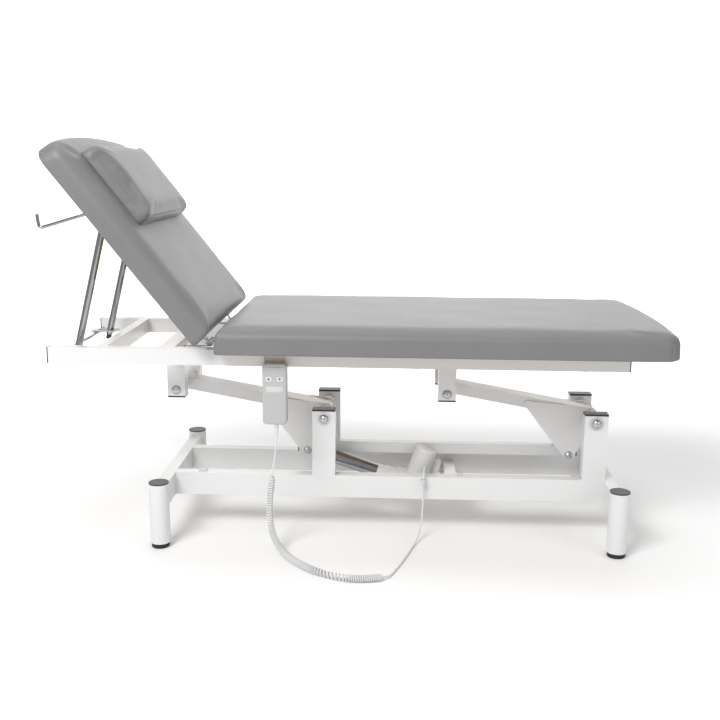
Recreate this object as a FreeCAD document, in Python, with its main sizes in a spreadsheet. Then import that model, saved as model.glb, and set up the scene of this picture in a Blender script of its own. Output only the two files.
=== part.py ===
import FreeCAD, Part
import math
import os
import re
import Sketcher
from FreeCAD import Placement, Rotation, Vector

# Electric facial treatment bed. Millimetres, +Z up, +X towards the foot end, floor at Z = 0.
# Two swinging arms and a link bar under the lying surface make a parallel lift, driven by one linear
# actuator. The backrest is hinged to the upper frame and held by a pair of struts in slotted guides.

SIZES = {
    # base
    "leg_head_x": -491, "leg_foot_x": 659, "leg_side": 240, "leg_radius": 25, "leg_top": 167,
    "leg_wall": 2, "cap_high": 3, "foot_high": 12, "foot_radius": 24,
    "beam_wide": 30, "beam_low": 97, "beam_top": 157, "base_wall": 2,
    "rail_side": 109, "rail_wide": 30,
    "post_head_x": -84, "post_foot_x": 617, "post_long": 60, "post_wide": 30, "post_top": 329,
    "post_cap_high": 5,
    # lift arms: pivot on the posts, pivot on the hanging brackets, pivot of the link bar
    "pivot_z": 309, "reach_x": 384, "reach_z": 69, "drop_x": 50, "drop_z": 113,
    "pin_radius": 8, "bush_radius": 11, "bush_long": 20, "sleeve_radius": 15, "flange": 2,
    "side_play": 0.5, "fit_play": 0.05, "open_play": 0.4,
    "arm_half": 30, "arm_deep": 30, "gusset_thick": 4,
    "dome_radius": 12.5, "dome_high": 8, "washer_radius": 18, "washer_thick": 1.5,
    "link_pin_radius": 6, "link_low": 8, "link_high": 28, "link_deep": 30, "link_over": 27,
    "link_dome_radius": 11, "link_dome_high": 7,
    # actuator, measured along its axis from the link pin
    "anchor_x": 353, "anchor_z": 116, "drive_y": -11, "rod_radius": 8.5, "rod_end": 250,
    "tube_start": 24, "tube_end": 196, "tube_radius": 18, "tube_bore": 14.3,
    "gear_start": 250, "gear_end": 345, "gear_half": 25, "gear_deep": 24,
    "motor_at": 303, "motor_radius": 30, "motor_top": 104, "motor_y": -26, "motor_cap_high": 5,
    "eye_radius": 13, "eye_half": 9, "anchor_pin_radius": 5, "ear_thick": 5,
    "tie_near": 238, "tie_far": 268, "tie_top": 137,
    # upper frame
    "frame_head": -756, "frame_foot": 664, "frame_side": 219, "frame_wide": 30,
    "frame_low": 470, "frame_top": 510, "frame_wall": 2,
    "bracket_side": 96, "bracket_long": 45, "bracket_wide": 40, "bracket_low": 362, "bracket_top": 490,
    "bracket_cap_high": 4, "cross_long": 40,
    "head_member_x": -629, "head_member_long": 24, "hinge_member_x": -401, "foot_member_x": 560,
    "head_rod_x": -751, "head_rod_z": 478, "head_rod_radius": 6,
    # upholstery
    "half_width": 315, "pad_thick": 63, "seat_head": -339, "seat_foot": 792, "end_sagitta": 20,
    "corner_radius": 55, "edge_radius": 20, "board_thick": 15, "board_inset": 14,
    "back_long": 603, "back_thick": 60, "back_corner_x": -378, "back_corner_z": 525, "recline": 51.5,
    "board_recess": 4, "head_sagitta": 24,
    "pillow_near": 305, "pillow_far": 535, "pillow_half": 225, "pillow_thick": 44, "pillow_round": 12,
    # backrest hinge, struts and paper roll hooks
    "hinge_x": -362, "hinge_z": 518, "hinge_side": 170, "knuckle_radius": 8, "hinge_pin_radius": 4,
    "leaf_thick": 2.5, "leaf_half": 9, "leaf_gap": 2, "leaf_arm": 12,
    "strut_side": 140, "strut_radius": 9, "strut_top_x": -632.7, "strut_top_z": 800, "strut_lean": 14.17,
    "strut_long": 334, "strut_over": 12, "strut_pin_radius": 4, "strut_play": 1.5, "cheek_thick": 3,
    "stop_radius": 7, "stop_high": 14,
    "gusset_drop_radius": 14, "gusset_hub_radius": 20, "gusset_tip_radius": 8, "gusset_back": 166,
    "gusset_fall": 27,
    "bolt_radius": 3, "bolt_head_radius": 6, "bolt_head_high": 3, "board_margin": 82,
    "guide_low": 484, "guide_thick": 4, "guide_head": -762, "guide_foot": -690, "guide_half": 20,
    "slot_head": -747, "slot_foot": -698, "slot_half": 11,
    "hook_side": 200, "hook_radius": 4,
    # handset
    "handset_head": -224, "handset_foot": -164, "handset_low": 330, "handset_top": 484,
    "handset_front": -262, "handset_split": -247, "handset_back": -234, "handset_wall": 2,
    "key_long": 15, "key_high": 12, "key_up_x": -208, "key_down_x": -181,
    "key_z": 445, "key_proud": 0.6, "key_play": 0.3, "key_lip": 1,
    "wire_radius": 1.6, "wire_top": 505, "wire_head_x": -221, "wire_foot_x": -171,
    "relief_long": 24, "relief_wide": 5.5, "relief_narrow": 3.4,
    "cord_radius": 2.3, "coil_radius": 9, "plug_radius": 7, "plug_low": 141, "plug_top": 155,
}

doc = FreeCAD.newDocument("treatment_bed")
sheet = doc.addObject("Spreadsheet::Sheet", "Sizes")
for row, (alias, number) in enumerate(SIZES.items(), start=1):
    sheet.set(f"A{row}", alias)
    sheet.set(f"B{row}", str(number))
    sheet.setAlias(f"B{row}", alias)
doc.recompute()

nodes = []
WORD = re.compile(r"[a-z][a-z_]+")
ALONG = {"x": Rotation(Vector(0, 1, 0), 90), "y": Rotation(Vector(1, 0, 0), -90), "z": Rotation()}
Y_AXIS = Vector(0, 1, 0)
UPSIDE = Rotation(Vector(0, 0, 1), 180)


def on_sheet(text):
    """An expression whose words are aliases, as FreeCAD reads it."""
    return WORD.sub(lambda word: "Sizes." + word.group(), text)


def size(alias):
    return float(sheet.get(alias))


def node(thing, label, placement=None):
    """Name a finished sub-part, place it and put it on the list that is written out."""
    if placement is not None:
        thing = placed(thing, placement)
    thing.Label = label
    nodes.append(thing)
    return thing


def placed(thing, placement):
    """Move a piece as a whole; a primitive keeps its own place, so it is held in a group that moves."""
    if thing.ExpressionEngine:
        thing = group([thing])
    thing.Placement = placement
    return thing


def block(x_span, y_span, z_span):
    """A rectangular bar between pairs of expressions."""
    box = doc.addObject("Part::Box", "block")
    for length, axis, (low, high) in (("Length", "x", x_span), ("Width", "y", y_span), ("Height", "z", z_span)):
        box.setExpression(length, on_sheet(f"({high}) - ({low})"))
        box.setExpression("Placement.Base." + axis, on_sheet(low))
    return box


def round_bar(axis, radius, span, first, second):
    """A cylinder along an axis; first and second are the other two coordinates, in X, Y, Z order."""
    bar = doc.addObject("Part::Cylinder", "round_bar")
    bar.Placement = Placement(Vector(), ALONG[axis])
    bar.setExpression("Radius", on_sheet(radius))
    bar.setExpression("Height", on_sheet(f"({span[1]}) - ({span[0]})"))
    others = [letter for letter in "xyz" if letter != axis]
    for letter, place in ((axis, span[0]), (others[0], first), (others[1], second)):
        bar.setExpression("Placement.Base." + letter, on_sheet(place))
    return bar


def cone(axis, radii, span, first, second):
    """A tapered round piece along an axis."""
    taper = doc.addObject("Part::Cone", "taper")
    taper.Placement = Placement(Vector(), ALONG[axis])
    taper.setExpression("Radius1", on_sheet(radii[0]))
    taper.setExpression("Radius2", on_sheet(radii[1]))
    taper.setExpression("Height", on_sheet(f"({span[1]}) - ({span[0]})"))
    others = [letter for letter in "xyz" if letter != axis]
    for letter, place in ((axis, span[0]), (others[0], first), (others[1], second)):
        taper.setExpression("Placement.Base." + letter, on_sheet(place))
    return taper


def dome(side, radius, high, x, y, z):
    """A domed cap whose flat back is at y and which bulges towards side (+1 or -1) along Y."""
    wide = size(radius)
    tall = size(high)
    ball = (wide ** 2 + tall ** 2) / (2 * tall)
    rim = math.degrees(math.asin((ball - tall) / ball))
    feature = doc.addObject("Part::Feature", "dome")
    feature.Shape = Part.makeSphere(ball, Vector(0, 0, tall - ball), Vector(0, 0, 1), rim, 90)
    feature.Placement = Placement(Vector(x, y, z), Rotation(Vector(1, 0, 0), -90 * side))
    return feature


def cut(base, *tools):
    """The base with every tool taken out of it."""
    result = doc.addObject("Part::Cut", "cut")
    result.Base = base
    result.Tool = tools[0] if len(tools) == 1 else group(tools)
    return result


def fuse(*pieces):
    result = doc.addObject("Part::MultiFuse", "fuse")
    result.Shapes = list(pieces)
    result.Refine = True
    return result


def group(pieces):
    """Separate solids that share one sub-part."""
    result = doc.addObject("Part::Compound", "group")
    result.Links = list(pieces)
    return result


def tube_block(axis, wall, x_span, y_span, z_span):
    """A rectangular tube, open at both ends along its axis."""
    spans = {"x": x_span, "y": y_span, "z": z_span}
    inner = [spans[letter] if letter == axis else (f"{spans[letter][0]} + {wall}", f"{spans[letter][1]} - {wall}")
             for letter in "xyz"]
    return cut(block(x_span, y_span, z_span), block(*inner))


def about(centre, half):
    """The span of a width around a centre."""
    return (f"{centre} - ({half})", f"{centre} + ({half})")


def rounded_plate(circles, low_y, high_y):
    """A plate along Y whose outline wraps round circles (x, z, radius), listed anticlockwise."""
    edges = []
    ends = []
    for (x1, z1, r1), (x2, z2, r2) in zip(circles, circles[1:] + circles[:1]):
        heading = math.atan2(z2 - z1, x2 - x1)
        normal = heading - math.pi / 2 + math.asin((r2 - r1) / math.hypot(x2 - x1, z2 - z1)) * -1
        outward = Vector(math.cos(normal), 0, math.sin(normal))
        ends.append((Vector(x1, low_y, z1) + outward * r1, Vector(x2, low_y, z2) + outward * r2, normal))
    for index, (x, z, radius) in enumerate(circles):
        arrive = ends[index - 1]
        leave = ends[index]
        turn = (leave[2] - arrive[2]) % (2 * math.pi)
        middle = arrive[2] + turn / 2
        crest = Vector(x + radius * math.cos(middle), low_y, z + radius * math.sin(middle))
        edges.append(Part.Arc(arrive[1], crest, leave[0]).toShape())
        edges.append(Part.LineSegment(leave[0], leave[1]).toShape())
    face = Part.Face(Part.Wire(Part.sortEdges(edges)[0]))
    feature = doc.addObject("Part::Feature", "plate")
    feature.Shape = face.extrude(Vector(0, high_y - low_y, 0))
    return feature


def route_wire(points, report):
    """Straight runs joined by tangent arcs, each as large as its two runs allow."""
    route = [Vector(*point) for point in points]
    edges = []
    start = route[0]
    radii = []
    for before, corner, after in zip(route, route[1:], route[2:]):
        back = (before - corner).normalize()
        ahead = (after - corner).normalize()
        half_turn = (math.pi - back.getAngle(ahead)) / 2
        trim = 0.45 * min((before - corner).Length, (after - corner).Length)
        radius = trim / math.tan(half_turn)
        arc_start = corner + back * trim
        arc_end = corner + ahead * trim
        inward = (back + ahead).normalize()
        centre_gap = radius / math.cos(half_turn)
        crest = corner + inward * (centre_gap - radius)
        edges.append(Part.LineSegment(start, arc_start).toShape())
        edges.append(Part.Arc(arc_start, crest, arc_end).toShape())
        start = arc_end
        radii.append(round(radius))
    edges.append(Part.LineSegment(start, route[-1]).toShape())
    wire = Part.Wire(edges)
    print(report, "radii", radii, "length", round(wire.Length, 1))
    return wire


def cord_tube(label, points, radius):
    """A round tube along a cord's route."""
    wire = route_wire(points, label)
    heading = (Vector(*points[1]) - Vector(*points[0])).normalize()
    ring = Part.Wire(Part.makeCircle(radius, Vector(*points[0]), heading))
    shape = Part.Wire(wire).makePipeShell([ring], True, False)
    print(label, "volume ratio", round(shape.Volume / (math.pi * radius ** 2 * wire.Length), 4))
    feature = doc.addObject("Part::Feature", label)
    feature.Shape = Part.Solid(shape) if shape.ShapeType != "Solid" else shape
    return node(feature, label)


def origin_plane(body, role):
    return next(plane for plane in body.Origin.OriginFeatures if plane.Role == role)


def new_sketch(body, name):
    sketch = body.newObject("Sketcher::SketchObject", name)
    sketch.AttachmentSupport = [(origin_plane(body, "XY_Plane"), "")]
    sketch.MapMode = "FlatFace"
    return sketch


def bound(sketch, kind, arguments, name, text):
    """A dimension of a sketch, tied to the sheet."""
    index = sketch.addConstraint(Sketcher.Constraint(kind, *arguments))
    sketch.renameConstraint(index, name)
    sketch.setExpression("Constraints." + name, on_sheet(text))


def pad_outline(sketch, start, end, half, sagitta):
    """Three straight sides and one bowed end, from x = start to the crown of the bow at x = end."""
    near = size_of(start)
    far = size_of(end) - size_of(sagitta)
    side = size_of(half)
    bow = size_of(sagitta)
    radius = (side ** 2 + bow ** 2) / (2 * bow)
    centre = far + bow - radius
    lean = math.asin(side / radius)
    head = sketch.addGeometry(Part.LineSegment(Vector(near, side, 0), Vector(near, -side, 0)))
    right = sketch.addGeometry(Part.LineSegment(Vector(near, -side, 0), Vector(far, -side, 0)))
    circle = Part.Circle(Vector(centre, 0, 0), Vector(0, 0, 1), radius)
    crown = sketch.addGeometry(Part.ArcOfCircle(circle, -lean, lean))
    left = sketch.addGeometry(Part.LineSegment(Vector(far, side, 0), Vector(near, side, 0)))
    for first, first_end, second, second_end in ((head, 2, right, 1), (right, 2, crown, 1), (crown, 2, left, 1),
                                                 (left, 2, head, 1)):
        sketch.addConstraint(Sketcher.Constraint("Coincident", first, first_end, second, second_end))
    sketch.addConstraint(Sketcher.Constraint("Horizontal", right))
    sketch.addConstraint(Sketcher.Constraint("Horizontal", left))
    sketch.addConstraint(Sketcher.Constraint("Vertical", head))
    sketch.addConstraint(Sketcher.Constraint("PointOnObject", crown, 3, -1))
    bound(sketch, "DistanceX", (-1, 1, head, 1, near), "near_end", start)
    bound(sketch, "DistanceY", (head, 2, head, 1, 2 * side), "full_width", f"2 * ({half})")
    bound(sketch, "DistanceX", (right, 1, right, 2, far - near), "side_long", f"({end}) - ({sagitta}) - ({start})")
    bound(sketch, "Radius", (crown, radius), "bow_radius",
          f"(({half}) * ({half}) + ({sagitta}) * ({sagitta})) / (2 * ({sagitta}))")


def size_of(text):
    """The value of a sum or difference of aliases and numbers."""
    total = 0.0
    sign = 1.0
    for part in re.findall(r"[a-z_]+|[\d.]+|[+-]", text):
        if part in "+-":
            sign = -1.0 if part == "-" else 1.0
            continue
        total += sign * (size(part) if part[0].isalpha() else float(part))
        sign = 1.0
    return total


def upholstery(name, start, end, half, sagitta, thick, rounded):
    """A padded block with rounded corners and rounded upper edges, underside at z = 0."""
    body = doc.addObject("PartDesign::Body", name)
    sketch = new_sketch(body, name + "_plan")
    pad_outline(sketch, start, end, half, sagitta)
    pad = body.newObject("PartDesign::Pad", name + "_pad")
    pad.Profile = sketch
    pad.setExpression("Length", on_sheet(thick))
    doc.recompute()
    far = size_of(end) - size_of(sagitta)
    upright = [f"Edge{index}" for index, edge in enumerate(pad.Shape.Edges, start=1)
               if abs(edge.tangentAt(edge.FirstParameter).z) > 0.99 and abs(edge.Vertexes[0].X - far) < 1]
    corners = body.newObject("PartDesign::Fillet", name + "_corners")
    corners.Base = (pad, upright)
    corners.setExpression("Radius", on_sheet("corner_radius"))
    doc.recompute()
    top = size_of(thick)
    upper = [f"Edge{index}" for index, edge in enumerate(corners.Shape.Edges, start=1)
             if all(abs(vertex.Z - top) < 0.01 for vertex in edge.Vertexes)]
    crest = body.newObject("PartDesign::Fillet", name + "_crest")
    crest.Base = (corners, upper)
    crest.setExpression("Radius", on_sheet(rounded))
    body.Tip = crest
    doc.recompute()
    return body


# ---- base ----------------------------------------------------------------------------------------
legs = [(x, f"{side} * leg_side") for x in ("leg_head_x", "leg_foot_x") for side in (-1, 1)]
leg_tubes = [cut(round_bar("z", "leg_radius", ("foot_high", "leg_top"), x, y),
                 round_bar("z", "leg_radius - leg_wall", ("foot_high", "leg_top"), x, y)) for x, y in legs]
node(group(leg_tubes), "leg_tubes")
node(group([round_bar("z", "leg_radius", ("leg_top", "leg_top + cap_high"), x, y) for x, y in legs]), "leg_caps")
node(group([cone("z", ("foot_radius - 2", "foot_radius"), ("0", "foot_high"), x, y) for x, y in legs]),
     "rubber_feet")

beams = []
for x in ("leg_head_x", "leg_foot_x"):
    beam = tube_block("y", "base_wall", about(x, "beam_wide / 2"), about("0", "leg_side"), ("beam_low", "beam_top"))
    cope = [round_bar("z", "leg_radius", ("beam_low - 5", "beam_top + 5"), x, f"{side} * leg_side")
            for side in (-1, 1)]
    beams.append(cut(beam, *cope))
node(group(beams), "cross_beams")

rail_span = ("leg_head_x + beam_wide / 2", "leg_foot_x - beam_wide / 2")
node(group([tube_block("x", "base_wall", rail_span, about(f"{side} * rail_side", "rail_wide / 2"),
                       ("beam_low", "beam_top")) for side in (-1, 1)]), "base_rails")

posts = [(x, side) for x in ("post_head_x", "post_foot_x") for side in (-1, 1)]
post_bodies = []
for x, side in posts:
    post = tube_block("z", "base_wall", about(x, "post_long / 2"), about(f"{side} * rail_side", "post_wide / 2"),
                      ("beam_top", "post_top"))
    post_bodies.append(cut(post, round_bar("y", "pin_radius", about(f"{side} * rail_side", "post_wide"), x,
                                           "pivot_z")))
node(group(post_bodies), "pivot_posts")
node(group([block(about(x, "post_long / 2"), about(f"{side} * rail_side", "post_wide / 2"),
                  ("post_top", "post_top + post_cap_high")) for x, side in posts]), "post_caps")
post_face = size("rail_side") + size("post_wide") / 2
arm_pins = []
for x in ("post_head_x", "post_foot_x"):
    pin = round_bar("y", "pin_radius", about("0", "rail_side + post_wide / 2 + washer_thick + 2"), x, "pivot_z")
    washers = [round_bar("y", "washer_radius", span, x, "pivot_z")
               for span in (("-rail_side - post_wide / 2 - washer_thick", "-rail_side - post_wide / 2"),
                            ("rail_side + post_wide / 2", "rail_side + post_wide / 2 + washer_thick"))]
    heads = [dome(side, "dome_radius", "dome_high", size(x), side * (post_face + size("washer_thick")),
                  size("pivot_z")) for side in (-1, 1)]
    arm_pins.append(fuse(pin, *washers, *heads))
node(group(arm_pins), "arm_pivot_pins")

# anchor of the actuator: a tie between the base rails, two ears and a pin
anchor_x = size("post_head_x") - size("drop_x") + size("anchor_x")
anchor_z = size("pivot_z") - size("drop_z") - size("anchor_z")
tie = tube_block("y", "base_wall", ("tie_near", "tie_far"), about("0", "rail_side - rail_wide / 2"),
                 ("beam_low", "tie_top"))
ear_gap = size("eye_half") + size("side_play")
ears = []
for side in (-1, 1):
    inner = size("drive_y") + side * ear_gap
    outer = inner + side * size("ear_thick")
    weld = size("tie_near") - 3
    ear = rounded_plate([(anchor_x, anchor_z, 13), (weld, 100, 3), (weld, size("tie_top") - 3, 3)],
                        min(inner, outer), max(inner, outer))
    pin_hole = round_bar("y", "anchor_pin_radius", about("drive_y", "eye_half + 3 * ear_thick"), str(anchor_x),
                         str(anchor_z))
    ears.append(cut(ear, pin_hole))
node(fuse(tie, *ears), "actuator_anchor_bracket")
node(round_bar("y", "anchor_pin_radius", about("drive_y", "eye_half + side_play + ear_thick + 4"), str(anchor_x),
               str(anchor_z)), "actuator_anchor_pin")
node(group([block(about(x, half), ("-rail_side", "-rail_side + 12"), ("beam_top", "beam_top + 4"))
            for x, half in (("leg_head_x + 85", "11"), ("273", "8"), ("post_foot_x - 42", "11"))]), "rail_clips")


# ---- lift arms -----------------------------------------------------------------------------------
arm_reach = math.hypot(size("reach_x"), size("reach_z"))
arm_rise = math.degrees(math.atan2(size("reach_z"), size("reach_x")))


def lift_arm(prefix, pivot):
    """One arm in its own frame, x running from the post pivot to the bracket pivot, then tilted up."""
    base = Vector(size(pivot), 0, size("pivot_z"))
    place = Placement(base, Rotation(Y_AXIS, arm_rise) * UPSIDE)
    reach = str(arm_reach)
    beam = tube_block("x", "base_wall", ("0", reach), about("0", "arm_half"), about("0", "arm_deep / 2"))
    cope = [round_bar("y", "sleeve_radius", about("0", "arm_half + 5"), x, "0") for x in ("0", reach)]
    node(cut(beam, *cope), prefix + "_arm_tube", place)
    sleeves = []
    bushes = []
    for x, face in (("0", "rail_side - post_wide / 2"), (reach, "bracket_side - bracket_wide / 2")):
        tube_end = f"{face} - side_play - flange"
        tube = round_bar("y", "sleeve_radius", about("0", tube_end), x, "0")
        sleeves.append(cut(tube, round_bar("y", "bush_radius", about("0", tube_end), x, "0")))
        for side in (-1, 1):
            outer = f"{side} * ({face} - side_play)"
            shoulder = f"{side} * ({tube_end})"
            inner = f"{side} * ({tube_end} - bush_long)"
            collar = (shoulder, outer) if side > 0 else (outer, shoulder)
            barrel = (inner, shoulder) if side > 0 else (shoulder, inner)
            whole = (inner, outer) if side > 0 else (outer, inner)
            body = fuse(round_bar("y", "sleeve_radius - 1", collar, x, "0"),
                        round_bar("y", "bush_radius", barrel, x, "0"))
            bore = "pin_radius + open_play" if (prefix == "foot" and x == reach) else "pin_radius + fit_play"
            bushes.append(cut(body, round_bar("y", bore, whole, x, "0")))
    node(group(sleeves), prefix + "_arm_sleeves", place)
    node(group(bushes), prefix + "_arm_bushes", place)
    drop = (-size("drop_x"), -size("drop_z"), size("gusset_drop_radius"))
    hub = (0, 0, size("gusset_hub_radius"))
    tip = (-size("gusset_back"), size("gusset_fall"), size("gusset_tip_radius"))
    plates = []
    for side in (-1, 1):
        inner = side * size("arm_half")
        outer = side * (size("arm_half") + size("gusset_thick"))
        plate = rounded_plate([drop, hub, tip], min(inner, outer), max(inner, outer))
        holes = [round_bar("y", "link_pin_radius", about("0", "arm_half + 9"), "-drop_x", "-drop_z"),
                 round_bar("y", "sleeve_radius", about("0", "arm_half + 9"), "0", "0")]
        plates.append(cut(plate, *holes))
    level = Placement(base, Rotation())
    node(group(plates), prefix + "_arm_gussets", level)
    plate_face = size("arm_half") + size("gusset_thick")
    pin = round_bar("y", "link_pin_radius", about("0", "arm_half + gusset_thick + 2"), "-drop_x", "-drop_z")
    caps = [dome(side, "link_dome_radius", "link_dome_high", -size("drop_x"), side * plate_face, -size("drop_z"))
            for side in (-1, 1)]
    node(fuse(pin, *caps), prefix + "_link_pin", level)


lift_arm("head", "post_head_x")
lift_arm("foot", "post_foot_x")

link_z = "(pivot_z - drop_z)"
link_ends = ("post_head_x - drop_x - link_over", "post_foot_x - drop_x + link_over")
link_tube = tube_block("x", "base_wall", link_ends, ("link_low", "link_high"), about(link_z, "link_deep / 2"))
link_holes = [round_bar("y", f"link_pin_radius + {play}", ("link_low - 5", "link_high + 5"), f"{x} - drop_x", link_z)
              for x, play in (("post_head_x", "fit_play"), ("post_foot_x", "open_play"))]
node(cut(link_tube, *link_holes), "link_bar")
node(group([block(span, ("link_low", "link_high"), about(link_z, "link_deep / 2"))
            for span in ((f"{link_ends[0]} - 3", link_ends[0]), (link_ends[1], f"{link_ends[1]} + 3"))]),
     "link_bar_caps")

# ---- actuator: x runs from the link pin down to the anchor pin -------------------------------------
drive_fall = math.degrees(math.atan2(size("anchor_z"), size("anchor_x")))
drive_long = str(math.hypot(size("anchor_x"), size("anchor_z")))
drive_start = Vector(size("post_head_x") - size("drop_x"), 0, size("pivot_z") - size("drop_z"))
drive = Placement(drive_start, Rotation(Y_AXIS, drive_fall))

eye_face = about("drive_y", "eye_half")
rod_eye = fuse(round_bar("y", "eye_radius", eye_face, "0", "0"),
               round_bar("x", "rod_radius - 1", ("0", "eye_radius + 8"), "drive_y", "0"))
thrust_rod = fuse(rod_eye, round_bar("x", "rod_radius", ("eye_radius + 8", "rod_end"), "drive_y", "0"))
node(cut(thrust_rod, round_bar("y", "link_pin_radius + fit_play", eye_face, "0", "0")), "actuator_rod", drive)
node(cut(round_bar("x", "tube_radius", ("tube_start", "tube_end"), "drive_y", "0"),
         round_bar("x", "tube_bore", ("tube_start", "tube_end"), "drive_y", "0")), "actuator_tube", drive)
housing = fuse(cone("x", ("tube_radius + 2", "tube_radius + 5"), ("tube_end", "gear_start"), "drive_y", "0"),
               block(("gear_start", "gear_end"), about("drive_y", "gear_half"), about("0", "gear_deep")),
               block(("motor_at + motor_radius", "gear_end + 8"), ("drive_y - 16", "drive_y + 14"),
                     ("0", "gear_deep + 58")),
               block(("gear_end", f"{drive_long} - eye_radius / 2"), eye_face, about("0", "eye_radius - 3")),
               round_bar("y", "eye_radius", eye_face, drive_long, "0"))
rod_room = round_bar("x", "tube_bore", ("tube_end", "rod_end + 8"), "drive_y", "0")
node(cut(housing, rod_room, round_bar("y", "anchor_pin_radius + fit_play", eye_face, drive_long, "0")),
     "gearbox_housing", drive)
node(fuse(round_bar("z", "motor_radius", ("gear_deep", "motor_top"), "motor_at", "motor_y"),
          cone("z", ("motor_radius", "motor_radius - 2"), ("motor_top", "motor_top + motor_cap_high"), "motor_at",
               "motor_y")), "motor_can", drive)
node(round_bar("y", "5.5", ("drive_y - 30", "drive_y - 16"), "motor_at + motor_radius + 10", "gear_deep + 14"),
     "motor_cable_gland", drive)

# ---- upper frame ---------------------------------------------------------------------------------
bolt_xs = ("-250", "150", "560")
bolt_places = [(x, side) for x in bolt_xs for side in (-1, 1)]
bolt_span = ("frame_low", "frame_top + board_thick - bolt_head_high")
bolt_head_span = ("frame_low - bolt_head_high", "frame_low")
bolts = [fuse(round_bar("z", "bolt_radius", bolt_span, x, f"{side} * frame_side"),
              round_bar("z", "bolt_head_radius", bolt_head_span, x, f"{side} * frame_side"))
         for x, side in bolt_places]
side_rails = []
for side in (-1, 1):
    rail = tube_block("x", "frame_wall", ("frame_head", "frame_foot"), about(f"{side} * frame_side", "frame_wide / 2"),
                      ("frame_low", "frame_top"))
    holes = [round_bar("z", "bolt_radius", ("frame_low - 5", "frame_top + 5"), x, f"{side} * frame_side")
             for x in bolt_xs]
    side_rails.append(cut(rail, *holes))
node(group(side_rails), "side_rails")
node(group(bolts), "seat_bolts")
node(group([block(span, about(f"{side} * frame_side", "frame_wide / 2"), ("frame_low", "frame_top"))
            for span in (("frame_head - 3", "frame_head"), ("frame_foot", "frame_foot + 3")) for side in (-1, 1)]),
     "side_rail_caps")
between = about("0", "frame_side - frame_wide / 2")
bracket_xs = ("post_head_x - reach_x", "post_foot_x - reach_x")
members = [tube_block("y", "frame_wall", about("head_member_x", "head_member_long / 2"), between,
                      ("frame_low", "frame_top")),
           tube_block("y", "frame_wall", about("hinge_member_x", "cross_long / 2"), between,
                      ("frame_low", "frame_top")),
           tube_block("y", "frame_wall", about("foot_member_x", "15"), between, ("frame_low", "frame_top"))]
members += [tube_block("y", "frame_wall", about(x, "cross_long / 2"), between, ("bracket_top", "frame_top"))
            for x in bracket_xs]
node(group(members), "cross_members")
node(round_bar("y", "head_rod_radius", between, "head_rod_x", "head_rod_z"), "head_cross_rod")

brackets = [(x, side) for x in bracket_xs for side in (-1, 1)]
bracket_pin_z = "(pivot_z + reach_z)"
hangers = []
for x, side in brackets:
    hanger = tube_block("z", "frame_wall", about(x, "bracket_long / 2"), about(f"{side} * bracket_side",
                        "bracket_wide / 2"), ("bracket_low", "bracket_top"))
    hangers.append(cut(hanger, round_bar("y", "pin_radius", about(f"{side} * bracket_side", "bracket_wide"), x,
                                         bracket_pin_z)))
node(group(hangers), "hanging_brackets")
node(group([block(about(x, "bracket_long / 2"), about(f"{side} * bracket_side", "bracket_wide / 2"),
                  ("bracket_low - bracket_cap_high", "bracket_low")) for x, side in brackets]), "bracket_caps")
bracket_face = size("bracket_side") + size("bracket_wide") / 2
bracket_pins = []
for post, x in zip(("post_head_x", "post_foot_x"), bracket_xs):
    pin = round_bar("y", "pin_radius", about("0", "bracket_side + bracket_wide / 2 + 2"), x, bracket_pin_z)
    heads = [dome(side, "dome_radius", "dome_high", size(post) - size("reach_x"), side * bracket_face,
                  size("pivot_z") + size("reach_z")) for side in (-1, 1)]
    bracket_pins.append(fuse(pin, *heads))
node(group(bracket_pins), "bracket_pins")

# ---- seat ----------------------------------------------------------------------------------------
seat_base = Placement(Vector(0, 0, size("frame_top")), Rotation())
seat_block = upholstery("seat_block", "seat_head", "seat_foot", "half_width", "end_sagitta", "pad_thick",
                        "edge_radius")
board_room = [("seat_head + board_inset", "seat_foot - board_margin"), about("0", "half_width - board_inset"),
              ("0", "board_thick")]
node(cut(seat_block, block(*board_room)), "seat_cushion", seat_base)
bolt_sockets = [round_bar("z", "bolt_radius", ("0", "board_thick - bolt_head_high"), x, f"{side} * frame_side")
                for x, side in bolt_places]
node(cut(block(*board_room), *bolt_sockets), "seat_board", seat_base)

# ---- backrest: x runs up the slope from the lower end, z is towards the person ---------------------
back = Placement(Vector(size("back_corner_x"), 0, size("back_corner_z")),
                 Rotation(Y_AXIS, size("recline")) * UPSIDE)
hinge_local = back.inverse().multVec(Vector(size("hinge_x"), 0, size("hinge_z")))
strut_local = back.inverse().multVec(Vector(size("strut_top_x"), 0, size("strut_top_z")))
hinge_sides = [f"{side} * hinge_side" for side in (-1, 1)]

back_block = upholstery("back_block", "0", "back_long", "half_width", "head_sagitta", "back_thick", "edge_radius")
back_hollow = block(("board_inset", "back_long - 75"), about("0", "half_width - board_inset"),
                    ("0", "board_recess + board_thick"))
leaf_notches = [block(("-5", "board_inset + 5"), about(y, "leaf_half + 1"), ("-1", "board_recess"))
                for y in hinge_sides]
node(cut(back_block, back_hollow, *leaf_notches), "backrest_cushion", back)
node(block(("board_inset", "back_long - 75"), about("0", "half_width - board_inset"),
           ("board_recess", "board_recess + board_thick")), "backrest_board", back)

upper_leaves = []
for y in hinge_sides:
    plate = block((str(hinge_local.x), "60"), about(y, "leaf_half"), ("0", "board_recess"))
    knuckle = round_bar("y", "knuckle_radius", about(y, "leaf_half"), str(hinge_local.x), str(hinge_local.z))
    root = block((f"{hinge_local.x} - knuckle_radius", str(hinge_local.x)), about(y, "leaf_half"),
                 ("0", str(hinge_local.z)))
    bore = round_bar("y", "hinge_pin_radius + fit_play", about(y, "leaf_half"), str(hinge_local.x),
                     str(hinge_local.z))
    upper_leaves.append(cut(fuse(plate, knuckle, root), bore))
node(group(upper_leaves), "hinge_upper_leaves", back)

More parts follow.
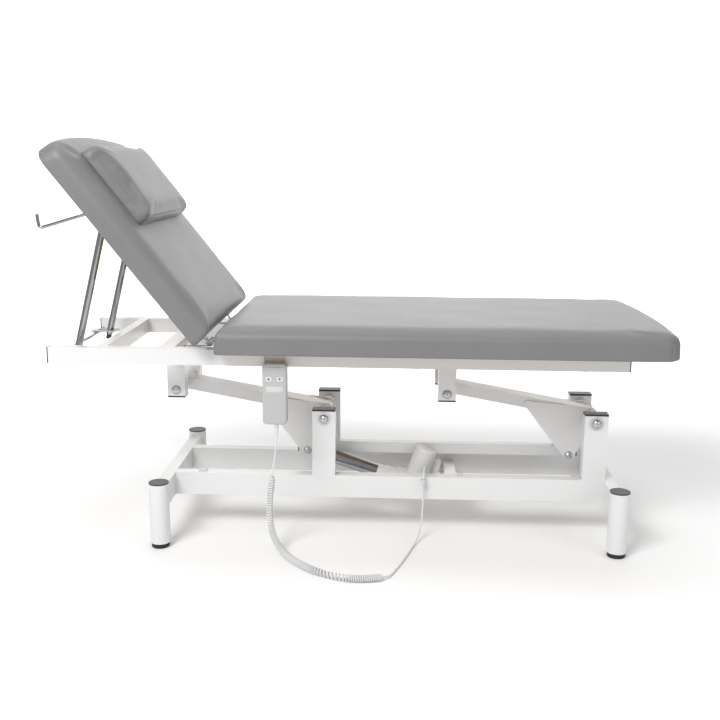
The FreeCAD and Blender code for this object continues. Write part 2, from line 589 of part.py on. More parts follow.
lower_leaves = []
hinge_pins = []
for y in hinge_sides:
    arm_inner = "(leaf_half + leaf_gap)"
    arm_outer = "(leaf_half + leaf_gap + leaf_arm)"
    foot = block(("hinge_member_x - cross_long / 2", "hinge_member_x + cross_long / 2"), about(y, arm_outer),
                 ("frame_top", "frame_top + leaf_thick"))
    arms = []
    for side in (-1, 1):
        reach = (f"{y} + {arm_inner}", f"{y} + {arm_outer}")
        if side < 0:
            reach = (f"{y} - {arm_outer}", f"{y} - {arm_inner}")
        arms.append(block(("hinge_member_x + cross_long / 2", "hinge_x"), reach,
                          ("frame_top", "frame_top + leaf_thick")))
        arms.append(round_bar("y", "knuckle_radius", reach, "hinge_x", "hinge_z"))
    bore = round_bar("y", "hinge_pin_radius", about(y, arm_outer), "hinge_x", "hinge_z")
    lower_leaves.append(cut(fuse(foot, *arms), bore))
    hinge_pins.append(round_bar("y", "hinge_pin_radius", about(y, arm_outer), "hinge_x", "hinge_z"))
node(group(lower_leaves + hinge_pins), "hinge_lower_leaves")

pillow_body = upholstery("pillow_block", "pillow_near", "pillow_far", "pillow_half", "board_recess", "pillow_thick",
                         "pillow_round")
pillow_place = back.multiply(Placement(Vector(0, 0, size("back_thick") + 1), Rotation()))
node(pillow_body, "pillow", pillow_place)

# paper roll hooks: a bent wire each side, screwed under the head of the backrest
hook_points = [(-657, 818), (-771, 797), (-775, 831)]
hook_root = back.inverse().multVec(Vector(hook_points[0][0], 0, hook_points[0][1]))
hooks = []
for side in (-1, 1):
    y = side * size("hook_side")
    start = back.multVec(Vector(hook_root.x, -y, -2))
    corner = Vector(hook_points[1][0], y, hook_points[1][1])
    tip = Vector(hook_points[2][0], y, hook_points[2][1])
    back_dir = (start - corner).normalize()
    tip_dir = (tip - corner).normalize()
    bend = 9
    half_turn = (math.pi - back_dir.getAngle(tip_dir)) / 2
    crest_gap = bend / math.tan(half_turn) * (1 / math.cos(half_turn) - 1)
    wire = Part.Wire([Part.LineSegment(start, corner + back_dir * bend).toShape(),
                      Part.Arc(corner + back_dir * bend, corner + (back_dir + tip_dir).normalize() * crest_gap,
                               corner + tip_dir * bend).toShape(),
                      Part.LineSegment(corner + tip_dir * bend, tip).toShape()])
    ring = Part.Wire(Part.makeCircle(size("hook_radius"), start, corner - start))
    hook = doc.addObject("Part::Feature", "hook")
    hook.Shape = wire.makePipeShell([ring], True, False)
    hooks.append(hook)
    plate = block((f"{hook_root.x} - 22", f"{hook_root.x} + 22"), about(f"{-side} * hook_side", "14"), ("-2", "0"))
    hooks.append(placed(plate, back))
node(group(hooks), "paper_roll_hooks")

# strut clevises under the backrest, struts, slotted guides
clevis_cheeks = []
clevis_pins = []
for side in (-1, 1):
    y = side * size("strut_side")
    half_gap = size("strut_radius") + size("strut_play")
    for cheek in (-1, 1):
        inner = y + cheek * half_gap
        outer = inner + cheek * size("cheek_thick")
        plate = rounded_plate([(strut_local.x, strut_local.z, 9), (strut_local.x + 22, -3, 3),
                               (strut_local.x - 22, -3, 3)], min(inner, outer), max(inner, outer))
        pin_hole = round_bar("y", "strut_pin_radius", about(str(y), "30"), str(strut_local.x), str(strut_local.z))
        clevis_cheeks.append(cut(plate, pin_hole))
    pin_span = about(str(y), "strut_radius + strut_play + cheek_thick + 3")
    clevis_pins.append(round_bar("y", "strut_pin_radius", pin_span, str(strut_local.x), str(strut_local.z)))
node(group(clevis_cheeks + clevis_pins), "strut_clevises", back)

strut = Placement(Vector(size("strut_top_x"), 0, size("strut_top_z")), Rotation(Y_AXIS, size("strut_lean")))
rods = []
for side in (-1, 1):
    rod = round_bar("z", "strut_radius", ("-strut_long", "strut_over"), "0", f"{side} * strut_side")
    pin_hole = round_bar("y", "strut_pin_radius + fit_play", about(f"{side} * strut_side", "20"), "0", "0")
    rods.append(cut(rod, pin_hole))
node(group(rods), "back_struts", strut)
node(group([round_bar("z", "stop_radius", ("-strut_long - stop_high", "-strut_long"), "0", f"{side} * strut_side")
            for side in (-1, 1)]), "strut_stops", strut)

guides = []
for side in (-1, 1):
    y = f"{side} * strut_side"
    plate = block(("guide_head", "guide_foot"), about(y, "guide_half"), ("guide_low", "guide_low + guide_thick"))
    slot = block(("slot_head + slot_half", "slot_foot - slot_half"), about(y, "slot_half"),
                 ("guide_low - 5", "guide_low + 15"))
    ends = [round_bar("z", "slot_half", ("guide_low - 5", "guide_low + 15"), x, y)
            for x in ("slot_head + slot_half", "slot_foot - slot_half")]
    guides.append(cut(plate, fuse(slot, *ends)))
node(group(guides), "strut_guides")

# ---- handset -------------------------------------------------------------------------------------
handset_x = ("handset_head", "handset_foot")
handset_z = ("handset_low", "handset_top")
inner_x = ("handset_head + handset_wall", "handset_foot - handset_wall")
inner_z = ("handset_low + handset_wall", "handset_top - handset_wall")
keys = (("button_up", "key_up_x"), ("button_down", "key_down_x"))
key_holes = [block(about(x, "key_long / 2 + key_play"), ("handset_front - 5", "handset_front + 8"),
                   about("key_z", "key_high / 2 + key_play")) for label, x in keys]
node(cut(block(handset_x, ("handset_front", "handset_split"), handset_z),
         block(inner_x, ("handset_front + handset_wall", "handset_split"), inner_z), *key_holes),
     "handset_front_shell")
node(cut(block(handset_x, ("handset_split", "handset_back"), handset_z),
         block(inner_x, ("handset_split", "handset_back - handset_wall"), inner_z)), "handset_back_shell")
node(block(("handset_head + 5", "handset_foot - 5"), ("handset_split - 4", "handset_split - 2.4"),
           ("handset_low + 30", "handset_top - 20")), "handset_circuit_board")
for label, x in keys:
    face = "handset_front - key_proud"
    lip_start = "handset_front + handset_wall"
    stem = block(about(x, "key_long / 2"), (face, f"{lip_start} + key_lip"), about("key_z", "key_high / 2"))
    lip = block(about(x, "key_long / 2 + 1.5"), (lip_start, f"{lip_start} + key_lip"),
                about("key_z", "key_high / 2 + 1.5"))
    node(fuse(stem, lip), label)
wires = []
for x in ("wire_head_x", "wire_foot_x"):
    stem = round_bar("z", "wire_radius", ("handset_top", "wire_top"), x, "handset_back - 2.2")
    eyelet = round_bar("y", "4.5", ("handset_back - 3.2", "handset_back"), x, "wire_top - 2")
    wires.append(fuse(stem, eyelet))
node(group(wires), "handset_hanger_wires")

cord_y = -250
relief_x = -191
relief_end = "handset_low - relief_long"
node(cone("z", ("relief_narrow", "relief_wide"), (relief_end, "handset_low"), str(relief_x), str(cord_y)),
     "cord_strain_relief")

# ---- handset cord: a plain top, a curly stretch, a plain lead and its connector ---------------------
cord_top = [(-191, -250, 305.3), (-191.5, -250, 280), (-195, -249.6, 252), (-199.5, -249.5, 223.5),
            (-203, -250, 195)]
cord_curl = [(-203, -250, 195), (-209, -251, 150), (-211, -252, 104), (-207, -257, 62), (-193, -272, 29),
             (-168, -301, 11), (-135, -342, 9.3), (-98, -382, 9.3), (-54, -412, 9.3), (-6, -429, 9.3),
             (40, -428, 9.3), (77, -417, 9.3)]
cord_lead = [(77, -417, 9.3), (88, -409, 6.5), (96, -392, 3.2), (106, -364, 2.7), (119, -327, 2.7),
             (132, -285, 2.7), (144, -242, 2.8), (156, -203, 5), (167, -170, 15), (173.5, -148, 38),
             (176, -138, 70), (176.5, -136.5, 108), (175.5, -137, 141)]
cord_motor = [(175.5, -137, 155), (177, -136, 167), (178, -126, 177), (181, -109, 179), (187, -90, 172),
              (193, -76, 157), (199, -64, 141), (203, -53, 129), (203.6, -42.5, 125)]
cord_tube("cord_top", cord_top, size("cord_radius"))
cord_tube("cord_curl", cord_curl, size("coil_radius"))
cord_tube("cord_lead", cord_lead, size("cord_radius"))
cord_tube("cord_motor", cord_motor, size("cord_radius"))
node(round_bar("z", "plug_radius", ("plug_low", "plug_top"), "175.5", "-137"), "cord_connector")

# ---- check and write -------------------------------------------------------------------------------
doc.recompute()
broken = [thing.Label for thing in doc.Objects if "Invalid" in thing.State or "Error" in thing.State]
for thing in nodes:
    if thing.Shape.isNull() or not thing.Shape.isValid() or not thing.Shape.Solids:
        broken.append(thing.Label)
if broken:
    raise SystemExit("failed: " + ", ".join(broken))
if len({thing.Label for thing in nodes}) != len(nodes):
    raise SystemExit("two sub-parts share a name")

os.makedirs("parts", exist_ok=True)
for thing in nodes:
    thing.Shape.exportStep(f"parts/{thing.Label}.step")
whole = Part.makeCompound([thing.Shape for thing in nodes]).BoundBox
extents = (whole.XMin, whole.XMax, whole.YMin, whole.YMax, whole.ZMin, whole.ZMax)
print(len(nodes), "nodes", [round(value, 1) for value in extents])
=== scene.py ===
import math

import bmesh
import bpy
from mathutils import Matrix, Vector
from mathutils.bvhtree import BVHTree
from mathutils.kdtree import KDTree


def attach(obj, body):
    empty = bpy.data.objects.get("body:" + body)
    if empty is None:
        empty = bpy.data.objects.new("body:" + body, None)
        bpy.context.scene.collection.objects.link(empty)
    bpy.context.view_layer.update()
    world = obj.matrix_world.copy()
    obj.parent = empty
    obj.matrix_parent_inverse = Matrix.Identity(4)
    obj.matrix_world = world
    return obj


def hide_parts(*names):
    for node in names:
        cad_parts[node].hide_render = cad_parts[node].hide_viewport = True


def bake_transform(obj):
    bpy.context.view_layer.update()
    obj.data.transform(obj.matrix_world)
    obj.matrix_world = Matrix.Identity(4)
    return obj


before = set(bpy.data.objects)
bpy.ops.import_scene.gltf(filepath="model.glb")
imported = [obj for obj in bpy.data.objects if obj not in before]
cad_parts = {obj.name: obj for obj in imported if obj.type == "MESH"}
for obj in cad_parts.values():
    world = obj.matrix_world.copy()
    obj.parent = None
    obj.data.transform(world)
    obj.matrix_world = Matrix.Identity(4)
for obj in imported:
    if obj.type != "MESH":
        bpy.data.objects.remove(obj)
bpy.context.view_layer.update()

scene = bpy.context.scene

# ---- camera ---------------------------------------------------------------------------------------
camera_data = bpy.data.cameras.new("camera")
camera_data.lens = 47.5
camera_data.sensor_width = 36
camera_data.dof.use_dof = False
camera = bpy.data.objects.new("camera", camera_data)
scene.collection.objects.link(camera)
scene.camera = camera
EYE = (0.089, -2.493, 0.967)
YAW, PITCH, ROLL = -0.034, 0.208, 0.009
forward = Vector((math.sin(YAW) * math.cos(PITCH), math.cos(YAW) * math.cos(PITCH), -math.sin(PITCH)))
flat_right = Vector((math.cos(YAW), -math.sin(YAW), 0))
flat_up = flat_right.cross(forward)
right = math.cos(ROLL) * flat_right + math.sin(ROLL) * flat_up
up = -math.sin(ROLL) * flat_right + math.cos(ROLL) * flat_up
camera.matrix_world = Matrix.Translation(EYE) @ Matrix((right, up, -forward)).transposed().to_4x4()


# ---- materials ------------------------------------------------------------------------------------
def surface(name, colour, rough, metal=0.0, spread=0.06, tint=0.05, bump=0.05, scale=300.0, depth=0.0004,
            coat=0.0, voronoi=0.0, worn=0.0, specular=0.5):
    """A procedural finish: fine grain in the bump, and slow variation in colour and roughness."""
    material = bpy.data.materials.new(name)
    material.use_nodes = True
    nodes, links = material.node_tree.nodes, material.node_tree.links
    shader = nodes["Principled BSDF"]
    shader.inputs["Metallic"].default_value = metal
    shader.inputs["Coat Weight"].default_value = coat
    shader.inputs["Coat Roughness"].default_value = 0.25
    shader.inputs["Specular IOR Level"].default_value = specular
    place = nodes.new("ShaderNodeTexCoord")
    cloud = nodes.new("ShaderNodeTexNoise")
    cloud.inputs["Scale"].default_value = 6.0
    cloud.inputs["Detail"].default_value = 5.0
    links.new(place.outputs["Object"], cloud.inputs["Vector"])
    shade = nodes.new("ShaderNodeValToRGB")
    dark = [c * (1 - tint) for c in colour] + [1]
    light = [min(1.0, c * (1 + tint)) for c in colour] + [1]
    shade.color_ramp.elements[0].position = 0.3
    shade.color_ramp.elements[0].color = dark
    shade.color_ramp.elements[1].position = 0.7
    shade.color_ramp.elements[1].color = light
    links.new(cloud.outputs["Fac"], shade.inputs["Fac"])
    colour_out = shade.outputs["Color"]
    if worn:
        dirt = nodes.new("ShaderNodeTexNoise")
        dirt.inputs["Scale"].default_value = 45.0
        dirt.inputs["Detail"].default_value = 8.0
        links.new(place.outputs["Object"], dirt.inputs["Vector"])
        mask = nodes.new("ShaderNodeMapRange")
        mask.inputs["From Min"].default_value = 0.62
        mask.inputs["From Max"].default_value = 0.78
        mask.inputs["To Max"].default_value = worn
        links.new(dirt.outputs["Fac"], mask.inputs["Value"])
        mix = nodes.new("ShaderNodeMix")
        mix.data_type = "RGBA"
        mix.inputs["B"].default_value = [c * 0.6 for c in colour] + [1]
        links.new(mask.outputs["Result"], mix.inputs["Factor"])
        links.new(colour_out, mix.inputs["A"])
        colour_out = mix.outputs["Result"]
    links.new(colour_out, shader.inputs["Base Color"])
    gloss = nodes.new("ShaderNodeMapRange")
    gloss.inputs["To Min"].default_value = max(0.02, rough - spread)
    gloss.inputs["To Max"].default_value = rough + spread
    links.new(cloud.outputs["Fac"], gloss.inputs["Value"])
    links.new(gloss.outputs["Result"], shader.inputs["Roughness"])
    grain = nodes.new("ShaderNodeTexNoise")
    grain.inputs["Scale"].default_value = scale
    grain.inputs["Detail"].default_value = 6.0
    links.new(place.outputs["Object"], grain.inputs["Vector"])
    height = grain.outputs["Fac"]
    if voronoi:
        cells = nodes.new("ShaderNodeTexVoronoi")
        cells.feature = "DISTANCE_TO_EDGE"
        cells.inputs["Scale"].default_value = voronoi
        links.new(place.outputs["Object"], cells.inputs["Vector"])
        pore = nodes.new("ShaderNodeMapRange")
        pore.inputs["From Max"].default_value = 0.12
        links.new(cells.outputs["Distance"], pore.inputs["Value"])
        total = nodes.new("ShaderNodeMath")
        total.operation = "MULTIPLY_ADD"
        total.inputs[1].default_value = 0.35
        links.new(grain.outputs["Fac"], total.inputs[0])
        links.new(pore.outputs["Result"], total.inputs[2])
        height = total.outputs["Value"]
    relief = nodes.new("ShaderNodeBump")
    relief.inputs["Strength"].default_value = bump
    relief.inputs["Distance"].default_value = depth
    links.new(height, relief.inputs["Height"])
    links.new(relief.outputs["Normal"], shader.inputs["Normal"])
    return material


def plywood_finish():
    """Plywood, whose figure is noise squeezed across the board."""
    material = surface("plywood", (0.50, 0.36, 0.21), 0.6, tint=0.1, bump=0.2, scale=60)
    nodes, links = material.node_tree.nodes, material.node_tree.links
    place = nodes.new("ShaderNodeTexCoord")
    squeeze = nodes.new("ShaderNodeMapping")
    squeeze.inputs["Scale"].default_value = (2.0, 24.0, 60.0)
    links.new(place.outputs["Object"], squeeze.inputs["Vector"])
    figure = nodes.new("ShaderNodeTexNoise")
    figure.inputs["Scale"].default_value = 3.0
    figure.inputs["Detail"].default_value = 10.0
    figure.inputs["Distortion"].default_value = 1.2
    links.new(squeeze.outputs["Vector"], figure.inputs["Vector"])
    ramp = nodes.new("ShaderNodeValToRGB")
    ramp.color_ramp.elements[0].position = 0.35
    ramp.color_ramp.elements[0].color = (0.36, 0.24, 0.13, 1)
    ramp.color_ramp.elements[1].position = 0.65
    ramp.color_ramp.elements[1].color = (0.58, 0.43, 0.26, 1)
    links.new(figure.outputs["Fac"], ramp.inputs["Fac"])
    links.new(ramp.outputs["Color"], nodes["Principled BSDF"].inputs["Base Color"])
    return material


FINISH = {
    "white_steel": surface("white_powder_coat", (0.72, 0.72, 0.72), 0.34, tint=0.012, bump=0.10, scale=420,
                           coat=0.15, worn=0.06),
    "black_plastic": surface("black_moulded", (0.018, 0.018, 0.02), 0.42, tint=0.2, bump=0.2, scale=900),
    "black_rubber": surface("black_rubber", (0.02, 0.02, 0.02), 0.75, tint=0.25, bump=0.3, scale=700, worn=0.3),
    "steel_pin": surface("turned_steel", (0.55, 0.55, 0.57), 0.32, metal=1.0, tint=0.08, bump=0.15, scale=500,
                         worn=0.2),
    "chrome": surface("polished_chrome", (0.36, 0.37, 0.39), 0.07, metal=1.0, spread=0.04, tint=0.02, bump=0.02,
                      scale=250, worn=0.08),
    "bush_plastic": surface("nylon", (0.68, 0.68, 0.64), 0.5, tint=0.06, bump=0.1, scale=500),
    "grey_vinyl": surface("grey_vinyl", (0.185, 0.185, 0.19), 0.38, spread=0.05, tint=0.035, bump=0.28, scale=900,
                          voronoi=520, depth=0.00035, specular=0.38),
    "plywood": plywood_finish(),
    "zinc_steel": surface("zinc_plate", (0.50, 0.50, 0.50), 0.36, metal=1.0, tint=0.12, bump=0.12, scale=260,
                          worn=0.25),
    "light_plastic": surface("light_grey_moulded", (0.62, 0.62, 0.625), 0.44, tint=0.02, bump=0.18, scale=1100),
    "circuit_board": surface("fibre_board", (0.03, 0.17, 0.08), 0.4, tint=0.15, bump=0.2, scale=500, coat=0.3),
    "cord_plastic": surface("cord_sheath", (0.66, 0.66, 0.66), 0.42, tint=0.04, bump=0.12, scale=800, worn=0.1),
}
HANDSET = surface("handset_moulded", (0.44, 0.44, 0.445), 0.42, tint=0.02, bump=0.18, scale=1100)
GLYPH = surface("printed_dark_grey", (0.035, 0.035, 0.04), 0.5, tint=0.1, bump=0.1, scale=900)
INSET = surface("label_panel", (0.56, 0.56, 0.56), 0.3, tint=0.03, bump=0.05, scale=900, coat=0.4)
THREAD = surface("stitch_thread", (0.24, 0.24, 0.245), 0.7, tint=0.1, bump=0.5, scale=2500)
# The seam folds use the pad's vinyl made darker: painted shade in the seam creases.
FOLD_PAINTED_SHADE = surface("vinyl_fold_painted_shade", (0.16, 0.16, 0.165), 0.5, tint=0.06, bump=0.2, scale=900, voronoi=520)

def paint(names, slot):
    """Gives CAD nodes one of the finishes."""
    for name in names:
        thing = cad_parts[name]
        if not thing.material_slots:
            raise SystemExit("no material slot on " + name)
        for place in thing.material_slots:
            place.link = "OBJECT"
            place.material = FINISH[slot]


PAINTED = {
    "white_steel": ["leg_tubes", "cross_beams", "base_rails", "pivot_posts", "head_arm_tube", "head_arm_sleeves",
                    "head_arm_gussets", "foot_arm_tube", "foot_arm_sleeves", "foot_arm_gussets", "link_bar",
                    "actuator_anchor_bracket", "side_rails", "cross_members", "hanging_brackets"],
    "black_plastic": ["leg_caps", "post_caps", "link_bar_caps", "side_rail_caps", "bracket_caps"],
    "black_rubber": ["rubber_feet", "strut_stops"],
    "steel_pin": ["arm_pivot_pins", "actuator_anchor_pin", "head_link_pin", "foot_link_pin", "bracket_pins"],
    "chrome": ["actuator_rod", "actuator_tube", "back_struts", "paper_roll_hooks", "head_cross_rod"],
    "bush_plastic": ["head_arm_bushes", "foot_arm_bushes"],
    "plywood": ["seat_board", "backrest_board"],
    "zinc_steel": ["seat_bolts", "hinge_lower_leaves", "hinge_upper_leaves", "strut_guides", "strut_clevises",
                   "handset_hanger_wires"],
    "light_plastic": ["gearbox_housing", "motor_can", "motor_cable_gland", "rail_clips", "button_up", "button_down",
                      "cord_connector"],
    "circuit_board": ["handset_circuit_board"],
    "cord_plastic": ["cord_strain_relief"],
}
for slot_name, names in PAINTED.items():
    paint(names, slot_name)


# ---- mesh helpers ---------------------------------------------------------------------------------
def piece(name, points, faces, material, body=None, slot=None, smooth=True):
    """A mesh object with its faces turned outwards, on its body and with its finish."""
    mesh = bpy.data.meshes.new(name)
    mesh.from_pydata([tuple(p) for p in points], [], faces)
    mesh.update()
    thing = bpy.data.objects.new(name, mesh)
    scene.collection.objects.link(thing)
    tidy = bmesh.new()
    tidy.from_mesh(mesh)
    bmesh.ops.recalc_face_normals(tidy, faces=tidy.faces)
    for face in tidy.faces:
        face.smooth = smooth
    tidy.to_mesh(mesh)
    tidy.free()
    mesh.materials.append(material)
    if body:
        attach(thing, body)
    return thing


def skin(rings, closed_ends=True, first=0):
    """Faces between equal rings of points, with an end face at each end."""
    count = len(rings[0])
    faces = []
    for row in range(len(rings) - 1):
        for step in range(count):
            nxt = (step + 1) % count
            low, high = first + row * count, first + (row + 1) * count
            faces.append((low + step, low + nxt, high + nxt, high + step))
    if closed_ends:
        faces.append(tuple(first + step for step in reversed(range(count))))
        faces.append(tuple(first + (len(rings) - 1) * count + step for step in range(count)))
    return faces


def tube_rings(path, radius, sides, closed=False):
    """Rings round a path, turned as little as possible from one to the next."""
    count = len(path)
    rings = []
    side = None
    for index, point in enumerate(path):
        before = path[(index - 1) % count] if closed or index else path[0]
        after = path[(index + 1) % count] if closed or index < count - 1 else path[-1]
        along = (after - before).normalized()
        if side is None:
            side = along.orthogonal().normalized()
        side = (side - along * side.dot(along)).normalized()
        other = along.cross(side)
        size = radius(index / (count - 1)) if callable(radius) else radius
        rings.append([point + size * (math.cos(turn) * side + math.sin(turn) * other)
                      for turn in (2 * math.pi * k / sides for k in range(sides))])
    return rings


def tube(name, path, radius, material, sides=10, **facts):
    rings = tube_rings(path, radius, sides)
    return piece(name, [p for ring in rings for p in ring], skin(rings), material, **facts)


def spline(points, fine=40):
    """Points along the smooth curve of a route, evenly spaced."""
    curve = bpy.data.curves.new("route", "CURVE")
    curve.dimensions = "3D"
    run = curve.splines.new("NURBS")
    run.points.add(len(points) - 1)
    for place, point in zip(run.points, points):
        place.co = (*point, 1)
    run.order_u = 3
    run.use_endpoint_u = True
    run.resolution_u = fine
    holder = bpy.data.objects.new("route", curve)
    scene.collection.objects.link(holder)
    bpy.context.view_layer.update()
    mesh = bpy.data.meshes.new_from_object(holder)
    found = [v.co.copy() for v in mesh.vertices]
    bpy.data.meshes.remove(mesh)
    bpy.data.objects.remove(holder)
    bpy.data.curves.remove(curve)
    return found


def even(path, step):
    """The same line with points a fixed distance apart."""
    total = sum((b - a).length for a, b in zip(path, path[1:]))
    count = max(2, round(total / step))
    found = [path[0]]
    travelled = 0.0
    target = total / count
    for a, b in zip(path, path[1:]):
        length = (b - a).length
        while travelled + length >= target - 1e-9 and len(found) < count:
            found.append(a.lerp(b, (target - travelled) / length))
            target += total / count
        travelled += length
    found.append(path[-1])
    return found


def length_of(path):
    """The length of a line through its points."""
    return sum((b - a).length for a, b in zip(path, path[1:]))


# ---- handset cord: straight top, curly stretch, straight lead, and motor cable beyond the CAD connector ---
# Radii of the cord and of its turns, points in a turn, and the length over which the coil opens and closes.
CORD = 0.0023
COIL = 0.0066
TURN_POINTS = 20
TAPER = 0.010
# Spacing of the points along the plain cords, the motor cable and the middle line of the coil.
STEP, MOTOR_STEP, CORE_STEP = 0.003, 0.0025, 0.0008
# Lengths that a turn takes up at the start, hanging, lying, and at the far end, and the stretch pulled open.
FIRST_PITCH, HANGING_PITCH, LYING_PITCH, LAST_PITCH = 0.0075, 0.0066, 0.0052, 0.0050
FIRST_SHARE, HANGING_ABOVE = 0.02, 0.07
OPEN_FROM, OPEN_TO, OPEN_LENGTH, OPEN_EXTRA = -0.10, 0.004, 0.104, 0.0050
top_route = [(-0.191, -0.250, 0.3053), (-0.1915, -0.250, 0.280), (-0.195, -0.2496, 0.252),
             (-0.1995, -0.2495, 0.2235), (-0.203, -0.250, 0.195)]
curl_route = [(-0.203, -0.250, 0.195), (-0.209, -0.251, 0.150), (-0.211, -0.252, 0.104), (-0.207, -0.257, 0.062),
              (-0.193, -0.272, 0.029), (-0.168, -0.301, 0.011), (-0.135, -0.342, 0.0093), (-0.098, -0.382, 0.0093),
              (-0.054, -0.412, 0.0093), (-0.006, -0.429, 0.0093), (0.040, -0.428, 0.0093), (0.077, -0.417, 0.0093)]
lead_route = [(0.077, -0.417, 0.0093), (0.088, -0.409, 0.0065), (0.096, -0.392, 0.0032), (0.106, -0.364, 0.0027),
              (0.119, -0.327, 0.0027), (0.132, -0.285, 0.0027), (0.144, -0.242, 0.0028), (0.156, -0.203, 0.005),
              (0.167, -0.170, 0.015), (0.1735, -0.148, 0.038), (0.176, -0.138, 0.070), (0.1765, -0.1365, 0.108),
              (0.1755, -0.137, 0.141)]
motor_route = [(0.1755, -0.137, 0.155), (0.177, -0.136, 0.167), (0.178, -0.126, 0.177), (0.181, -0.109, 0.179),
               (0.187, -0.090, 0.172), (0.193, -0.076, 0.157), (0.199, -0.064, 0.141), (0.203, -0.053, 0.129),
               (0.2036, -0.0425, 0.125)]
sheath = FINISH["cord_plastic"]

top_path = even(spline(top_route), STEP)
cord_upper = tube("handset_cord_top", top_path, CORD, sheath, sides=12, slot="cord_plastic")
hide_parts("cord_top")
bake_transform(cord_upper)


def pitch_at(where, height, x):
    """How much of the coil's length one turn takes up at a place along it."""
    if where < FIRST_SHARE:
        return FIRST_PITCH
    if height > HANGING_ABOVE:
        return HANGING_PITCH
    if x < OPEN_FROM:
        return LYING_PITCH
    if x < OPEN_TO:
        return LYING_PITCH + OPEN_EXTRA * math.sin(math.pi * (x - OPEN_FROM) / OPEN_LENGTH)
    return LAST_PITCH


def wind(core):
    """The cord's own line, wound round the middle line of its coil."""
    last = len(core) - 1
    core_length = length_of(core)
    step_length = core_length / last
    line, turned, side = [], 0.0, None
    for index, point in enumerate(core):
        before, after = core[max(0, index - 1)], core[min(last, index + 1)]
        along = (after - before).normalized()
        if side is None:
            side = along.orthogonal().normalized()
        side = (side - along * side.dot(along)).normalized()
        other = along.cross(side)
        where = index / last
        pitch = pitch_at(where, point.z, point.x)
        parts = max(1, math.ceil(step_length / pitch * TURN_POINTS))
        for part in range(parts if index < last else 1):
            share = part / parts
            here = point.lerp(after, share)
            ramp = min(1.0, (where + share / len(core)) * core_length / TAPER, (1 - where) * core_length / TAPER)
            radius = COIL * math.sin(math.pi / 2 * max(0.0, ramp))
            line.append(here + radius * (math.cos(turned) * side + math.sin(turned) * other))
            turned += 2 * math.pi * step_length / parts / pitch
    return line


helix = wind(even(spline(curl_route), CORE_STEP))
cord_coil = tube("handset_cord_coil", helix, CORD, sheath, sides=8, slot="cord_plastic")
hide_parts("cord_curl")
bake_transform(cord_coil)

lead_path = even(spline(lead_route), STEP)
cord_lower = tube("handset_cord_lead", lead_path, CORD, sheath, sides=12, body="base", slot="cord_plastic")
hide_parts("cord_lead")

motor_path = even(spline(motor_route), MOTOR_STEP)
motor_cable = tube("motor_cable", motor_path, CORD, sheath, sides=12, slot="cord_plastic")
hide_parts("cord_motor")
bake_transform(motor_cable)


# ---- upholstery -----------------------------------------------------------------------------------
# Steps in the outline of a pad: along a side, round a far corner, across an end and round a near corner.
SIDE_STEPS, FAR_STEPS, END_STEPS, NEAR_STEPS = 60, 16, 40, 8
# How far a pad starts inside its CAD solid, the height under which it is held, and the cloth's stiffness.
SLIM, HELD_BELOW, STIFFNESS = 0.0022, 0.004, 15.0
LAST_FRAME = 20
# How far the sides and the ends pull in between the corners.
SIDE_PULL, END_PULL = 0.0018, 0.0015
# The seams: inset of the line, width and depth of the groove, and radius and depth of the sewn fold.
RIM_INSET, GROOVE_WIDTH, GROOVE_DEPTH, FOLD_RADIUS, FOLD_SINK = 0.0012, 0.006, 0.0013, 0.0008, 0.0003
# The stitches: distance from the seam, spacing of the points, points from one to the next, points in one.
STITCH_OFFSET, STITCH_STEP, STITCH_EVERY, STITCH_LONG = 0.0036, 0.001, 6, 4
THREAD_RADIUS, THREAD_RISE, THREAD_SINK = 0.00035, 0.0004, 0.0002
# The lower edge of a pad, as heights and insets, and the height at which a seam up its side begins.
LOWER_EDGE = [(0.0, 0.004), (0.0015, 0.0012), (0.005, 0.0)]
WALL_STEPS, EDGE_STEPS, UPRIGHT_FROM = 6, 8, 0.003


def plan(near, far, half, bow, corner, near_corner, inset):
    """The outline of a pad seen from above, moved inwards, with the same number of points whatever the inset."""
    big = (half * half + bow * bow) / (2 * bow)
    centre = far - big
    near, half, big = near + inset, half - inset, big - inset
    corner = max(0.0015, corner - inset)
    near_corner = max(0.001, near_corner - inset)
    tip = centre + math.sqrt((big - corner) ** 2 - (half - corner) ** 2)
    lean = math.atan2(half - corner, tip - centre)
    outline = []
    for k in range(NEAR_STEPS + 1):
        turn = math.pi + math.pi / 2 * k / NEAR_STEPS
        outline.append((near + near_corner + near_corner * math.cos(turn),
                        -half + near_corner + near_corner * math.sin(turn)))
    for k in range(1, SIDE_STEPS):
        outline.append((near + near_corner + (tip - near - near_corner) * k / SIDE_STEPS, -half))
    for k in range(FAR_STEPS + 1):
        turn = -math.pi / 2 + (math.pi / 2 - lean) * k / FAR_STEPS
        outline.append((tip + corner * math.cos(turn), -half + corner + corner * math.sin(turn)))
    for k in range(1, END_STEPS):
        turn = -lean + 2 * lean * k / END_STEPS
        outline.append((centre + big * math.cos(turn), big * math.sin(turn)))
    for k in range(FAR_STEPS + 1):
        turn = lean + (math.pi / 2 - lean) * k / FAR_STEPS
        outline.append((tip + corner * math.cos(turn), half - corner + corner * math.sin(turn)))
    for k in range(1, SIDE_STEPS):
        outline.append((tip + (near + near_corner - tip) * k / SIDE_STEPS, half))
    for k in range(NEAR_STEPS + 1):
        turn = math.pi / 2 + math.pi / 2 * k / NEAR_STEPS
        outline.append((near + near_corner + near_corner * math.cos(turn),
                        half - near_corner + near_corner * math.sin(turn)))
    for k in range(1, END_STEPS):
        outline.append((near, half - near_corner + (2 * near_corner - 2 * half) * k / END_STEPS))
    return outline


def pad_solid(name, shape, profile, material):
    """A closed block with the pad's outline, from heights and how far each is inset."""
    rings = [[Vector((x, y, height)) for x, y in plan(*shape, inset)] for height, inset in profile]
    return piece(name, [p for ring in rings for p in ring], skin(rings), material)


